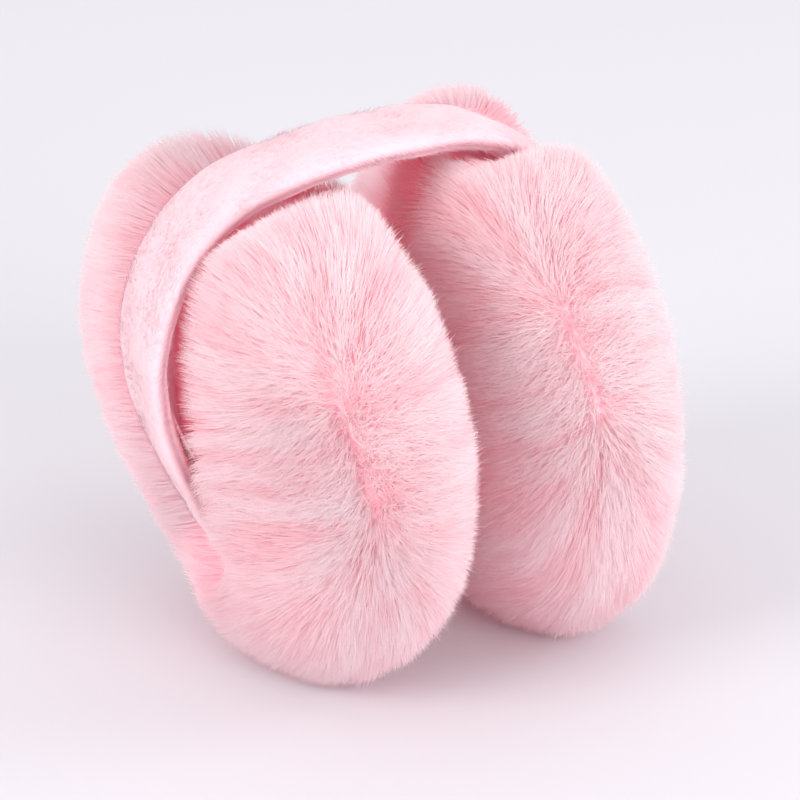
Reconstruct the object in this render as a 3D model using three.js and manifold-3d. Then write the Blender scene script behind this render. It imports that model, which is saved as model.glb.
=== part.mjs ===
// Fur earmuffs, folded for storage: two round fur pads turned in side by side under a plush headband.
// Millimetres. +X runs along the arch from one pad to the other, +Y to the back, +Z up from the ground.

import * as THREE from 'three';
import { mergeVertices } from 'three/addons/utils/BufferGeometryUtils.js';
import Module from 'manifold-3d';

const wasm = await Module();
wasm.setup();

// Driving dimensions.

const PAD_DEPTH = 117; // front to back across one round pad, at the roots of its outer locks
const PAD_HEIGHT = 127; // top to bottom before its own weight flattens it
const PAD_THICKNESS = 57; // through the pad, ear side to outer side
const PAD_SQUARENESS = 2.2; // exponent of the pad's rounded section: 2 is an ellipse
const PAD_TOE = 6; // degrees that the pads' fronts are pressed together
const MEETING_GAP = 0.2; // each pad's ear side stops this far from the meeting plane
const SEAT_GAP = 0.35; // clearance between the headband and the fur that grips it

const PADS = [
  // side is -1 at -X; offset is the middle's distance from the plane where the two pads meet, and centre
  // its height; lean tips the top towards -X, in degrees; whorl is the way from the pad's middle to its
  // front whorl, and the back one lies as far behind
  { name: 'left_pad', side: -1, offset: 30.6, lean: 7, centre: 61.4, whorl: [-0.27, -0.87, 0.42] },
  { name: 'right_pad', side: 1, offset: 31.5, lean: 6, centre: 59.6, whorl: [-0.12, -0.86, 0.5] },
];

const LOCK_TIPS = [33, 52, 70, 88]; // degrees from the whorl where each row of locks ends in its points
const LOCKS_PER_ROW = 16; // each row is turned half a lock from the one before
const LOCK_NOTCH = 9; // degrees that the notches between two points reach back
const LOCK_RISE = 4.2; // how far a lock's point stands over the roots of the next row
const LOCK_CROWN = 0.6; // share of the rise that a lock's middle has over its edges
const LOCK_RINGS = 4; // rings of points along a lock
const LOCK_COLUMNS = 4; // points across a lock
const ROOT_STEP = 1.4; // degrees from a lock's point down to the roots under it

const BAND_WIDTH = 22;
const BAND_THICKNESS = 6;
const BAND_SQUARENESS = 3; // exponent of the padded sleeve's section
const BAND_STATIONS = 56;
const BAND_SIDES = 12;

// Middle line of the headband over the arch. x and z in mm. twist turns the front edge outwards, in
// degrees. flare is how far the fur stands off the front edge. front and back are the heights, over the
// headband's own middle, to which it holds the fur down beside its front and back edge.
const ARCH = [
  { x: -30, z: 18, twist: 12, flare: 0, front: 8, back: 8 },
  { x: -37.5, z: 28, twist: 18, flare: 1, front: 6, back: 6 },
  { x: -46, z: 38.5, twist: 18, flare: 1, front: 4, back: 4 },
  { x: -54, z: 51, twist: 16, flare: 1, front: 3, back: 3 },
  { x: -60, z: 64, twist: 13, flare: 2, front: 3, back: 2 },
  { x: -62.5, z: 77.5, twist: 9, flare: 6, front: 2, back: 1 },
  { x: -62.4, z: 84.5, twist: 5, flare: 0.5, front: 5, back: 0 },
  { x: -61, z: 92, twist: 2, flare: 0.3, front: 5, back: 0 },
  { x: -54.5, z: 104.5, twist: -1, flare: 0.3, front: 1.5, back: -1 },
  { x: -42, z: 114.5, twist: -4, flare: 0.5, front: -3, back: -3 },
  { x: -22, z: 119.8, twist: -4, flare: 1, front: -6.5, back: -6 },
  { x: 0, z: 121.5, twist: -4, flare: 1, front: -8, back: -8 },
  { x: 20, z: 119.5, twist: -3, flare: 1, front: -6.5, back: 1 },
  { x: 33.5, z: 112, twist: 0, flare: 0.3, front: -1, back: 6 },
  { x: 44, z: 100.5, twist: 4, flare: 0.3, front: 3, back: 7 },
  { x: 50.5, z: 86, twist: 6, flare: 1, front: 4, back: 4 },
  { x: 53.5, z: 70, twist: 8, flare: 1, front: 4, back: 4 },
  { x: 52.5, z: 55, twist: 10, flare: 1, front: 4, back: 4 },
  { x: 46.5, z: 42, twist: 10, flare: 1, front: 5, back: 5 },
  { x: 38, z: 30, twist: 8, flare: 1, front: 6, back: 6 },
  { x: 31, z: 19, twist: 4, flare: 0, front: 8, back: 8 },
];
const HUB_HEIGHT = 60; // the arch is seen all round from this height under its top
const PINCH_SLOPE = 0.4; // how fast the held fur rises beside the headband
const PINCH_ROUND = 40; // and its rounding: distance squared over this
const PINCH_SOFT = 2; // over which the held fur blends into the free fur
const ENTRY_HEIGHT = 33; // below this the fur closes over the band's ends
const GROOVE_REACH = 34; // how far out the groove is cleared of fur
const GROOVE_SPLAY = 3; // how much wider it is there than at the headband

const FUR = new THREE.MeshStandardMaterial({ color: 0xffc4d1, roughness: 0.95, metalness: 0 });
const PLUSH = new THREE.MeshStandardMaterial({ color: 0xfce2e7, roughness: 0.9, metalness: 0 });

// Solids and geometry.

/** Closed solid of a mesh given as points and triangles. */
function solidOf(points, triangles) {
  const geometry = new THREE.BufferGeometry();
  geometry.setAttribute('position', new THREE.Float32BufferAttribute(points.flat(), 3));
  geometry.setIndex(triangles.flat());
  const merged = mergeVertices(geometry, 1e-4);
  return new wasm.Manifold(new wasm.Mesh({
    numProp: 3,
    vertProperties: new Float32Array(merged.attributes.position.array),
    triVerts: new Uint32Array(merged.index.array),
  }));
}

/** Geometry of a closed solid. */
function geometryOf(solid) {
  const mesh = solid.getMesh();
  const geometry = new THREE.BufferGeometry();
  geometry.setAttribute('position', new THREE.BufferAttribute(new Float32Array(mesh.vertProperties), 3));
  geometry.setIndex(Array.from(mesh.triVerts));
  geometry.computeVertexNormals();
  return geometry;
}

/** Skins a row of closed rings of points, all of one length, and caps both ends. */
function loft(rings) {
  const sides = rings[0].length;
  const points = rings.flat();
  const triangles = [];
  for (let i = 0; i + 1 < rings.length; i += 1) {
    for (let j = 0; j < sides; j += 1) {
      const a = i * sides + j;
      const b = i * sides + (j + 1) % sides;
      triangles.push([a, b, b + sides], [a, b + sides, a + sides]);
    }
  }
  for (const [start, flip] of [[0, true], [(rings.length - 1) * sides, false]]) {
    for (let j = 1; j + 1 < sides; j += 1) {
      triangles.push(flip ? [start, start + j + 1, start + j] : [start, start + j, start + j + 1]);
    }
  }
  return solidOf(points, triangles);
}

/** Block between two corners, used to trim a solid. */
function block(low, high) {
  const corner = (x, y, z) => [x, y, z];
  const ring = (x) => [corner(x, low[1], low[2]), corner(x, high[1], low[2]),
    corner(x, high[1], high[2]), corner(x, low[1], high[2])];
  return loft([ring(low[0]), ring(high[0])]);
}

// Fur pads.

/** Point of the plain pad's surface in the direction of a vector from its middle. */
function padSurface(direction) {
  const round = Math.hypot(direction.y / (PAD_DEPTH / 2), direction.z / (PAD_HEIGHT / 2));
  const flat = Math.abs(direction.x) / (PAD_THICKNESS / 2);
  const size = (round ** PAD_SQUARENESS + flat ** PAD_SQUARENESS) ** (1 / PAD_SQUARENESS);
  return direction.clone().divideScalar(size);
}

/**
 * Direction at polar angle theta from the front or back whorl (face -1 or 1) and turn phi round it.
 * The whorl's own slant fades to none at the pad's middle, where the two halves meet.
 */
function padDirection(face, theta, phi, whorl) {
  const direction = new THREE.Vector3(Math.sin(theta) * Math.cos(phi), face * Math.cos(theta), Math.sin(theta) * Math.sin(phi));
  const middle = new THREE.Vector3(whorl[0], -face * whorl[1], whorl[2]).normalize();
  const slant = new THREE.Quaternion().setFromUnitVectors(new THREE.Vector3(0, face, 0), middle);
  return direction.applyQuaternion(new THREE.Quaternion().slerp(slant, 1 - theta / (Math.PI / 2)));
}

/** Outward normal of the plain pad at a direction, from two short steps along its surface. */
function padNormal(direction) {
  const step = 0.02;
  const side = new THREE.Vector3(0, 0, 1).cross(direction);
  if (side.length() < 0.2) side.set(0, 1, 0).cross(direction);
  side.normalize();
  const rise = direction.clone().cross(side).normalize();
  const here = padSurface(direction);
  const a = padSurface(direction.clone().addScaledVector(side, step)).sub(here);
  const b = padSurface(direction.clone().addScaledVector(rise, step)).sub(here);
  const normal = a.cross(b).normalize();
  return normal.dot(direction) < 0 ? normal.negate() : normal;
}

/** Polar angle where a row of locks ends at turn phi: a zigzag of points and notches. */
function lockEdge(row, phi) {
  if (row < 0) return 0;
  const notch = row + 1 < LOCK_TIPS.length ? LOCK_NOTCH : LOCK_NOTCH / 3;
  return LOCK_TIPS[row] - notch * lockOffset(row, phi);
}

/** How far turn phi is from the middle of the row's nearest lock: 0 at its middle, 1 at its edge. */
function lockOffset(row, phi) {
  const place = (phi * LOCKS_PER_ROW) / (2 * Math.PI) + (row % 2) / 2;
  return 2 * Math.abs(place - Math.round(place));
}

/** Rings of points from a whorl to the pad's middle, with the rows of locks laid like shingles. */
function lockRings(face, whorl) {
  const sides = LOCKS_PER_ROW * LOCK_COLUMNS;
  const rings = [];
  for (let row = 0; row < LOCK_TIPS.length; row += 1) {
    for (let k = 0; k < LOCK_RINGS; k += 1) {
      const s = k / (LOCK_RINGS - 1);
      const ring = [];
      for (let j = 0; j < sides; j += 1) {
        const phi = (2 * Math.PI * j) / sides;
        const start = lockEdge(row - 1, phi) + ROOT_STEP;
        const theta = THREE.MathUtils.degToRad(start + (lockEdge(row, phi) - start) * s);
        const direction = padDirection(face, theta, phi, whorl);
        const crown = 1 - LOCK_CROWN * lockOffset(row, phi) ** 2;
        const rise = LOCK_RISE * (0.1 + 0.9 * s ** 0.8) * crown;
        ring.push(padSurface(direction).addScaledVector(padNormal(direction), rise).toArray());
      }
      rings.push(ring);
    }
  }
  return rings;
}

/** Furred pad where it stands: locks part at the front and back whorls and lie to its middle. */
function furredPad(pad) {
  const placement = padPlacement(pad);
  const rings = [...lockRings(1, pad.whorl), ...lockRings(-1, pad.whorl).reverse()];
  return loft(rings.map((ring) => ring.map((point) => (
    pinched(new THREE.Vector3(...point).applyMatrix4(placement)).toArray()))));
}

/** Turns and shifts a pad from its own middle to where it stands. */
function padPlacement({ side, offset, lean, centre }) {
  const toe = new THREE.Matrix4().makeRotationZ(THREE.MathUtils.degToRad(-side * PAD_TOE));
  const tip = new THREE.Matrix4().makeRotationY(THREE.MathUtils.degToRad(-lean));
  return new THREE.Matrix4().makeTranslation(side * offset, 0, centre).multiply(toe).multiply(tip);
}

// Headband.

const archLine = new THREE.CatmullRomCurve3(ARCH.map(({ x, z }) => new THREE.Vector3(x, 0, z)), false, 'centripetal');

/** Value of one of the arch table's columns at a share t of the curve's points. */
function archColumn(column, t) {
  const place = t * (ARCH.length - 1);
  const index = Math.min(Math.floor(place), ARCH.length - 2);
  return THREE.MathUtils.lerp(ARCH[index][column], ARCH[index + 1][column], place - index);
}

/** Place, forward (front edge) and outward directions of the headband at a share t of the arch. */
function archFrame(t) {
  const middle = archLine.getPoint(t);
  const along = archLine.getTangent(t);
  const outward = new THREE.Vector3(-along.z, 0, along.x);
  const twist = -THREE.MathUtils.degToRad(archColumn('twist', t));
  const front = new THREE.Vector3(0, -1, 0).applyAxisAngle(along, twist);
  outward.applyAxisAngle(along, twist);
  return { middle, front, outward, flare: archColumn('flare', t) };
}

/** Point beside the arch: w towards the front edge, n outwards. */
function archPoint({ middle, front, outward }, w, n) {
  return middle.clone().addScaledVector(front, w).addScaledVector(outward, n).toArray();
}

/** Sweeps a section, given as a function of the frame and the share t, between two shares. */
function sweep(section, from, to, stations) {
  const rings = [];
  for (let i = 0; i <= stations; i += 1) {
    const t = from + ((to - from) * i) / stations;
    rings.push(section(archFrame(t), t));
  }
  return loft(rings);
}

/** Rounded section of the padded sleeve, larger by a clearance; its ends draw in to a blunt tip. */
function sleeveSection(clearance) {
  return (frame, t) => {
    const end = Math.min(t, 1 - t) * (ARCH.length - 1);
    const draw = end < 0.5 ? Math.sqrt(1 - (1 - end / 0.5) ** 2 * 0.75) : 1;
    const ring = [];
    for (let j = 0; j < BAND_SIDES; j += 1) {
      const angle = (-2 * Math.PI * (j + 0.5)) / BAND_SIDES;
      const bend = (value) => Math.sign(value) * Math.abs(value) ** (2 / BAND_SQUARENESS);
      ring.push(archPoint(frame, (BAND_WIDTH / 2 + clearance) * draw * bend(Math.cos(angle)),
        (BAND_THICKNESS / 2 + clearance) * (0.4 + 0.6 * draw) * bend(Math.sin(angle))));
    }
    return ring;
  };
}

/** Section of the groove that the headband presses into the fur: open outwards, wider at the front. */
function grooveSection(frame) {
  const half = BAND_WIDTH / 2 + SEAT_GAP;
  const floor = -BAND_THICKNESS / 2 - SEAT_GAP;
  const { flare } = frame;
  return [
    archPoint(frame, -half, floor),
    archPoint(frame, -half - GROOVE_SPLAY, GROOVE_REACH),
    archPoint(frame, half + flare + GROOVE_SPLAY, GROOVE_REACH),
    archPoint(frame, half + flare, BAND_THICKNESS / 2),
    archPoint(frame, half, floor),
  ];
}

/** Share of the arch where it passes a height on its left (side -1) or right (side 1) arm. */
function shareAtHeight(height, side) {
  for (let i = 0; i <= 400; i += 1) {
    const t = side < 0 ? i / 400 : 1 - i / 400;
    if (archLine.getPoint(t).z >= height) return t;
  }
  return 0.5;
}

// Fur held down beside the headband.

const POLAR_STEPS = 240;

/** Clockwise turn from straight down, 0 to 2 pi, of a place seen from the hub. */
function hubTurn(x, z) {
  return THREE.MathUtils.euclideanModulo(-Math.PI / 2 - Math.atan2(z - HUB_HEIGHT, x), 2 * Math.PI);
}

const polarArch = Array.from({ length: POLAR_STEPS + 1 }, (_, i) => {
  const t = i / POLAR_STEPS;
  const { x, z } = archLine.getPoint(t);
  const along = archLine.getTangent(t);
  const distance = Math.hypot(x, z - HUB_HEIGHT);
  return {
    turn: hubTurn(x, z),
    distance,
    facing: (-along.z * x + along.x * (z - HUB_HEIGHT)) / distance,
    slant: Math.tan(THREE.MathUtils.degToRad(archColumn('twist', t))),
    front: archColumn('front', t),
    back: archColumn('back', t),
  };
});

/** The polar arch at a turn, or null where the headband doesn't pass. */
function archAtTurn(turn) {
  const next = polarArch.findIndex((entry) => entry.turn > turn);
  if (next < 1) return null;
  const a = polarArch[next - 1];
  const b = polarArch[next];
  const share = (turn - a.turn) / (b.turn - a.turn);
  return Object.fromEntries(Object.keys(a).map((key) => [key, THREE.MathUtils.lerp(a[key], b[key], share)]));
}

/** Moves a point of the placed pad's surface inwards as far as the headband holds it down. */
function pinched(point) {
  const arch = archAtTurn(hubTurn(point.x, point.z));
  if (!arch) return point;
  const half = BAND_WIDTH / 2;
  const distance = Math.hypot(point.x, point.z - HUB_HEIGHT);
  const over = (distance - arch.distance) * arch.facing
    + THREE.MathUtils.clamp(point.y, -half, half) * arch.slant;
  const beyond = Math.max(Math.abs(point.y) - half, 0);
  const edge = point.y < 0 ? arch.front : arch.back;
  const under = Math.max(edge, -BAND_THICKNESS / 2);
  const side = THREE.MathUtils.smoothstep(Math.abs(point.y), 0.5 * half, half);
  const limit = under + (edge - under) * side + PINCH_SLOPE * beyond + beyond ** 2 / PINCH_ROUND;
  const excess = over - limit;
  const height = HUB_HEIGHT - arch.distance * Math.cos(hubTurn(point.x, point.z));
  const hold = THREE.MathUtils.smoothstep(height, ENTRY_HEIGHT - 8, ENTRY_HEIGHT + 2);
  const sink = (hold * (excess + Math.hypot(excess, PINCH_SOFT))) / 2 / arch.facing;
  return new THREE.Vector3(point.x - (sink * point.x) / distance, point.y,
    point.z - (sink * (point.z - HUB_HEIGHT)) / distance);
}

// Assembly.

const earmuffs = new THREE.Group();

const sleeve = sweep(sleeveSection(0), 0, 1, BAND_STATIONS);
const band = new THREE.Mesh(geometryOf(sleeve), PLUSH);
band.name = 'headband';
earmuffs.add(band);

const groove = sweep(grooveSection, shareAtHeight(ENTRY_HEIGHT, -1), shareAtHeight(ENTRY_HEIGHT, 1), BAND_STATIONS);
const seat = sweep(sleeveSection(SEAT_GAP), 0, 1, BAND_STATIONS);
const trims = {
  '-1': block([-100, -100, 0], [-MEETING_GAP, 100, 200]),
  '1': block([MEETING_GAP, -100, 0], [100, 100, 200]),
};

for (const pad of PADS) {
  const cut = furredPad(pad).subtract(groove).subtract(seat).intersect(trims[pad.side]);
  const mesh = new THREE.Mesh(geometryOf(cut), FUR);
  mesh.name = pad.name;
  earmuffs.add(mesh);
}

// The origin lies under the middle of the whole.
const bounds = new THREE.Box3().setFromObject(earmuffs);
const middle = bounds.getCenter(new THREE.Vector3());
earmuffs.position.set(-middle.x, -middle.y, -bounds.min.z);
earmuffs.updateMatrixWorld(true);

export default earmuffs;
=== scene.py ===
"""Fur earmuffs lying folded: two deep-pile pads side by side under a plush headband, on a pale floor.

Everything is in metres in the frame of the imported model. Each fur pad is a soft core under several
coats of pile, and the pile is built as joined blades from arrays. All draws are seeded.
"""

import logging
import math
from dataclasses import dataclass, field
from enum import Enum

import bmesh
import bpy
import numpy as np
from mathutils import Matrix, Vector


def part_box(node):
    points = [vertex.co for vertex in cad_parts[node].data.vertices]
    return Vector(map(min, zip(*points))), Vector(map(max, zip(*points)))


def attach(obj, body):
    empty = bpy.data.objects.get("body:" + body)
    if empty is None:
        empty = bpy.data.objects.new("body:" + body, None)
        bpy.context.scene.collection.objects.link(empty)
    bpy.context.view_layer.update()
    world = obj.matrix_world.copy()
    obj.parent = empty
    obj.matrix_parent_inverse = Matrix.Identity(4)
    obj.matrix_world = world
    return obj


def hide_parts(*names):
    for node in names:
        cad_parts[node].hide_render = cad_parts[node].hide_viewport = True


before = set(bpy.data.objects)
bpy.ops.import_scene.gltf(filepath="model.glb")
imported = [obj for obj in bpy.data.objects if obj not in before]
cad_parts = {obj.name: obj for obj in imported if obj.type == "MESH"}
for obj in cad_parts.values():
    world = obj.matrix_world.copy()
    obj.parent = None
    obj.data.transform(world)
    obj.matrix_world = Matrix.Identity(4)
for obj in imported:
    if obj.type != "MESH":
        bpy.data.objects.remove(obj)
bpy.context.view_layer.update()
log = logging.getLogger("earmuffs")

MM = 0.001
Array = np.ndarray
Span = tuple[float, float]


def srgb(code: str) -> tuple[float, float, float, float]:
    """Turns an sRGB hex colour such as "FFC4D1" to linear RGBA."""
    parts = [int(code[i:i + 2], 16) / 255 for i in (0, 2, 4)]
    linear = [c / 12.92 if c <= 0.04045 else ((c + 0.055) / 1.055) ** 2.4 for c in parts]
    return (*linear, 1.0)


def unit(v: Array) -> Array:
    """Scales each row of an array of vectors to length 1."""
    return v / np.maximum(np.linalg.norm(v, axis=-1, keepdims=True), 1e-12)


def smoothstep(low: float, high: float, x: Array) -> Array:
    """Rises from 0 at low to 1 at high as 3t^2 - 2t^3."""
    t = np.clip((x - low) / (high - low), 0.0, 1.0)
    return t * t * (3 - 2 * t)


def add_node(tree: bpy.types.NodeTree, kind: str, settings: dict | None = None,
             inputs: dict | None = None) -> bpy.types.Node:
    """Adds a shader node.

    Args:
        tree: node tree that gets the node.
        kind: the node's type name, such as "ShaderNodeTexNoise".
        settings: properties to set on the node.
        inputs: per socket name or index, a value or another node's output socket.

    Returns:
        The new node.
    """
    node = tree.nodes.new(kind)
    for name, value in (settings or {}).items():
        setattr(node, name, value)
    for name, value in (inputs or {}).items():
        if isinstance(value, bpy.types.NodeSocket):
            tree.links.new(value, node.inputs[name])
        else:
            node.inputs[name].default_value = value
    return node


def ramp(tree: bpy.types.NodeTree, factor: bpy.types.NodeSocket,
         stops: list[tuple[float, tuple]]) -> bpy.types.NodeSocket:
    """Adds a colour ramp.

    Args:
        tree: node tree that gets the ramp.
        factor: socket that it is read by.
        stops: places from 0 to 1 and their linear colours.

    Returns:
        Its colour socket.
    """
    node = add_node(tree, "ShaderNodeValToRGB", inputs={"Fac": factor})
    elements = node.color_ramp.elements
    while len(elements) < len(stops):
        elements.new(0.5)
    for element, (place, colour) in zip(elements, stops):
        element.position = place
        element.color = colour
    return node.outputs["Color"]


def new_material(name: str) -> tuple[bpy.types.Material, bpy.types.NodeTree]:
    """Makes a material with an empty node tree, whose weak painted glow isn't sampled as a lamp."""
    material = bpy.data.materials.new(name)
    material.use_nodes = True
    material.cycles.emission_sampling = "NONE"
    material.node_tree.nodes.clear()
    return material, material.node_tree


def fibre_map(tree: bpy.types.NodeTree) -> tuple[bpy.types.NodeSocket, bpy.types.NodeSocket]:
    """Reads the UV map "fibre" and returns its X and Y sockets."""
    uv = add_node(tree, "ShaderNodeUVMap", {"uv_map": "fibre"})
    split = add_node(tree, "ShaderNodeSeparateXYZ", inputs={0: uv.outputs[0]})
    return split.outputs["X"], split.outputs["Y"]


def noise(tree: bpy.types.NodeTree, size_mm: float, detail: float) -> bpy.types.NodeSocket:
    """Adds noise of a real size in Object coordinates and returns its value socket."""
    place = add_node(tree, "ShaderNodeTexCoord").outputs["Object"]
    return add_node(tree, "ShaderNodeTexNoise", inputs={
        "Vector": place, "Scale": 1 / (size_mm * MM), "Detail": detail}).outputs["Fac"]


def blend(tree: bpy.types.NodeTree, factor: bpy.types.NodeSocket, low: bpy.types.NodeSocket | tuple,
          high: bpy.types.NodeSocket | tuple) -> bpy.types.NodeSocket:
    """Mixes two colours, low where factor is 0 and high where it is 1; returns the colour socket."""
    node = add_node(tree, "ShaderNodeMix", {"data_type": "RGBA"}, {"Factor": factor, 6: low, 7: high})
    return node.outputs[2]


def rounded(wave: Array, power: float) -> Array:
    """Superellipse term: the sign of a sine or cosine times its size to 2 / power."""
    return np.sign(wave) * np.abs(wave) ** (2 / power)


class Side(Enum):
    """Which pad of the two: the sign of its place along X."""

    LEFT = -1
    RIGHT = 1


class Face(Enum):
    """Which half of a pad: the sign of its place along Y, fronts being at -Y."""

    FRONT = -1
    BACK = 1


@dataclass(frozen=True)
class PileFinish:
    """Acrylic faux-fur pile: matt soft fibres, deeper at the roots and paler at the tips.

    Real one: modacrylic staple knitted into a backing cloth, sheared and brushed. Its fibres are thin
    and clear, so light goes from lock to lock: half of the scattering is Translucent, and a weak rose
    painted glow stands for the light that many thin fibres pass on and fewer, wider blades would block.
    Fibres with low shades take a deep rose ramp, painted shade in the valleys between locks, near the
    parting and on fur buried beside the headband; those with shades under buried_below glow deep rose.
    """

    name: str = "acrylic_faux_fur_pile"
    root: str = "FFE2E8"
    middle: str = "FFF0F3"
    tip: str = "FFF6F8"
    # deep ramp: painted shade, taken by fibres with low shades
    deep_root: str = "F07A92"
    deep_tip: str = "FFB9C7"
    # painted glow: deep rose for buried fibres, and a ramp from root to tip
    painted_glow_deep: str = "6C2E3C"
    painted_glow_root: str = "86505A"
    painted_glow_middle: str = "543A40"
    painted_glow_tip: str = "281C1F"
    roughness: float = 0.9
    gloss: float = 0.05
    glow: float = 0.5
    buried_below: float = 0.3

    def build(self) -> bpy.types.Material:
        """Makes the material. The UV map holds (place along the fibre, fibre's shade: painted shade and a
        random spread).
        """
        material, tree = new_material(self.name)
        along, shade = fibre_map(tree)
        pale = ramp(tree, along, [(0.0, srgb(self.root)), (0.5, srgb(self.middle)), (1.0, srgb(self.tip))])
        deep = ramp(tree, along, [(0.0, srgb(self.deep_root)), (1.0, srgb(self.deep_tip))])
        # painted shade: fibres with low shades take the deep ramp
        colour = blend(tree, shade, deep, pale)
        # painted glow: a rose emission fading towards the tips, deep rose for fibres with shades under
        # buried_below
        free = ramp(tree, along, [(0.0, srgb(self.painted_glow_root)), (0.5, srgb(self.painted_glow_middle)),
                                  (1.0, srgb(self.painted_glow_tip))])
        from_max = 2
        lit = add_node(tree, "ShaderNodeMapRange", inputs={"Value": shade, from_max: self.buried_below})
        painted_glow = blend(tree, lit.outputs[0], srgb(self.painted_glow_deep), free)
        surface = add_node(tree, "ShaderNodeBsdfPrincipled", inputs={
            "Base Color": colour, "Roughness": self.roughness, "Specular IOR Level": self.gloss,
            "Emission Color": painted_glow, "Emission Strength": 1.0})
        through = add_node(tree, "ShaderNodeBsdfTranslucent", inputs={"Color": colour})
        both = add_node(tree, "ShaderNodeMixShader", inputs={
            0: self.glow, 1: surface.outputs[0], 2: through.outputs[0]})
        add_node(tree, "ShaderNodeOutputMaterial", inputs={"Surface": both.outputs[0]})
        return material


@dataclass(frozen=True)
class CoreFinish:
    """Dense under-wool at the backing cloth, seen only between the fibres.

    Real one: the short curled part of the same acrylic pile, unbrushed, so it is matt with no gloss.
    Its tufts are 1.6 mm apart. It is painted deep rose in the headband's groove, painted shade where
    little light comes, and it has a weak rose painted glow, deeper rose in the groove.
    """

    name: str = "faux_fur_underwool"
    deep: str = "FFCCD7"
    light: str = "FFE0E7"
    groove: str = "EE8FA2"
    painted_glow: str = "5E3A42"
    painted_groove_glow: str = "743040"
    tuft_mm: float = 1.6

    def build(self) -> bpy.types.Material:
        """Makes the material from noise at the tufts' spacing, with a bump of the same tufts."""
        material, tree = new_material(self.name)
        tufts = noise(tree, self.tuft_mm, 4.0)
        open_fur = ramp(tree, tufts, [(0.3, srgb(self.deep)), (0.7, srgb(self.light))])
        # painted shade and painted glow: deep rose colour and glow where the UV marks the headband's groove
        _, free = fibre_map(tree)
        colour = blend(tree, free, srgb(self.groove), open_fur)
        painted_glow = blend(tree, free, srgb(self.painted_groove_glow), srgb(self.painted_glow))
        bump = add_node(tree, "ShaderNodeBump", inputs={
            "Strength": 0.6, "Distance": 0.6 * MM, "Height": tufts})
        surface = add_node(tree, "ShaderNodeBsdfPrincipled", inputs={
            "Base Color": colour, "Roughness": 1.0, "Specular IOR Level": 0.05,
            "Normal": bump.outputs[0], "Emission Color": painted_glow, "Emission Strength": 1.0})
        add_node(tree, "ShaderNodeOutputMaterial", inputs={"Surface": surface.outputs[0]})
        return material


@dataclass(frozen=True)
class PlushFinish:
    """Brushed polyester plush: short velvety pile that pales where it is combed towards the light.

    Real one: knitted polyester, raised and brushed. Its 0.5 mm grain gives the bump, patches of 5 mm
    show where it was stroked, the sheen pales it edge on, and along the seams it is darker.
    """

    name: str
    base: str
    shade: str
    seam: str = "C88A98"
    comb_mm: float = 5.0
    grain_mm: float = 0.5
    roughness: float = 0.9
    sheen: float = 0.3

    def build(self) -> bpy.types.Material:
        """Makes the material: broad combed patches and a fine grain, with the grain in the bump."""
        material, tree = new_material(self.name)
        comb = noise(tree, self.comb_mm, 3.0)
        grain = noise(tree, self.grain_mm, 2.0)
        both = add_node(tree, "ShaderNodeMix", {"data_type": "FLOAT"}, {
            "Factor": 0.4, 2: comb, 3: grain}).outputs[0]
        cloth = ramp(tree, both, [(0.35, srgb(self.shade)), (0.6, srgb(self.base))])
        _, seam = fibre_map(tree)
        colour = blend(tree, seam, cloth, srgb(self.seam))
        bump = add_node(tree, "ShaderNodeBump", inputs={
            "Strength": 0.35, "Distance": 0.25 * MM, "Height": grain})
        surface = add_node(tree, "ShaderNodeBsdfPrincipled", inputs={
            "Base Color": colour, "Roughness": self.roughness, "Sheen Weight": self.sheen,
            "Sheen Roughness": 0.4, "Specular IOR Level": 0.2, "Normal": bump.outputs[0]})
        add_node(tree, "ShaderNodeOutputMaterial", inputs={"Surface": surface.outputs[0]})
        return material


def make_mesh(name: str, points: Array, faces: Array, finish: bpy.types.Material,
              uv: Array | None = None, normals: Array | None = None) -> bpy.types.Object:
    """Puts arrays of points and faces (all triangles or all quads) into a new object.

    Args:
        name: the piece's name.
        points: (n, 3) places in metres.
        faces: (m, 3) or (m, 4) indices.
        finish: the piece's material.
        uv: optional (n, 2) values per point, stored as the UV map "fibre".
        normals: optional (n, 3) shading normals per point.

    Returns:
        The object, linked to the scene at the origin.
    """
    mesh = bpy.data.meshes.new(name)
    count, corners = faces.shape
    mesh.vertices.add(len(points))
    mesh.vertices.foreach_set("co", np.ascontiguousarray(points, dtype=np.float32).ravel())
    mesh.loops.add(count * corners)
    mesh.loops.foreach_set("vertex_index", np.ascontiguousarray(faces, dtype=np.int32).ravel())
    mesh.polygons.add(count)
    mesh.polygons.foreach_set("loop_start", np.arange(0, count * corners, corners, dtype=np.int32))
    mesh.polygons.foreach_set("use_smooth", np.ones(count, dtype=bool))
    mesh.update(calc_edges=True)
    if uv is not None:
        layer = mesh.uv_layers.new(name="fibre")
        layer.data.foreach_set("uv", np.ascontiguousarray(uv[faces.ravel()], dtype=np.float32).ravel())
    if normals is not None:
        mesh.normals_split_custom_set_from_vertices(np.ascontiguousarray(normals, dtype=np.float32))
    mesh.materials.append(finish)
    piece = bpy.data.objects.new(name, mesh)
    bpy.context.scene.collection.objects.link(piece)
    return piece


def grid_faces(rows: int, columns: int, closed: bool) -> Array:
    """Quads of a grid of points, row by row; closed joins the last column to the first."""
    i = np.arange(rows - 1)[:, None]
    j = np.arange(columns if closed else columns - 1)[None, :]
    k = (j + 1) % columns
    quads = np.stack([i * columns + j, i * columns + k, (i + 1) * columns + k, (i + 1) * columns + j], -1)
    return quads.reshape(-1, 4)


def cap_ends(piece: bpy.types.Object, rings: list[Array]) -> None:
    """Closes the open ends of a piece with one face each and turns all its faces outwards."""
    bm = bmesh.new()
    bm.from_mesh(piece.data)
    bm.verts.ensure_lookup_table()
    for ring in rings:
        bm.faces.new([bm.verts[i] for i in ring])
    bmesh.ops.recalc_face_normals(bm, faces=bm.faces)
    bm.to_mesh(piece.data)
    bm.free()
    piece.data.shade_smooth()


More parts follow.
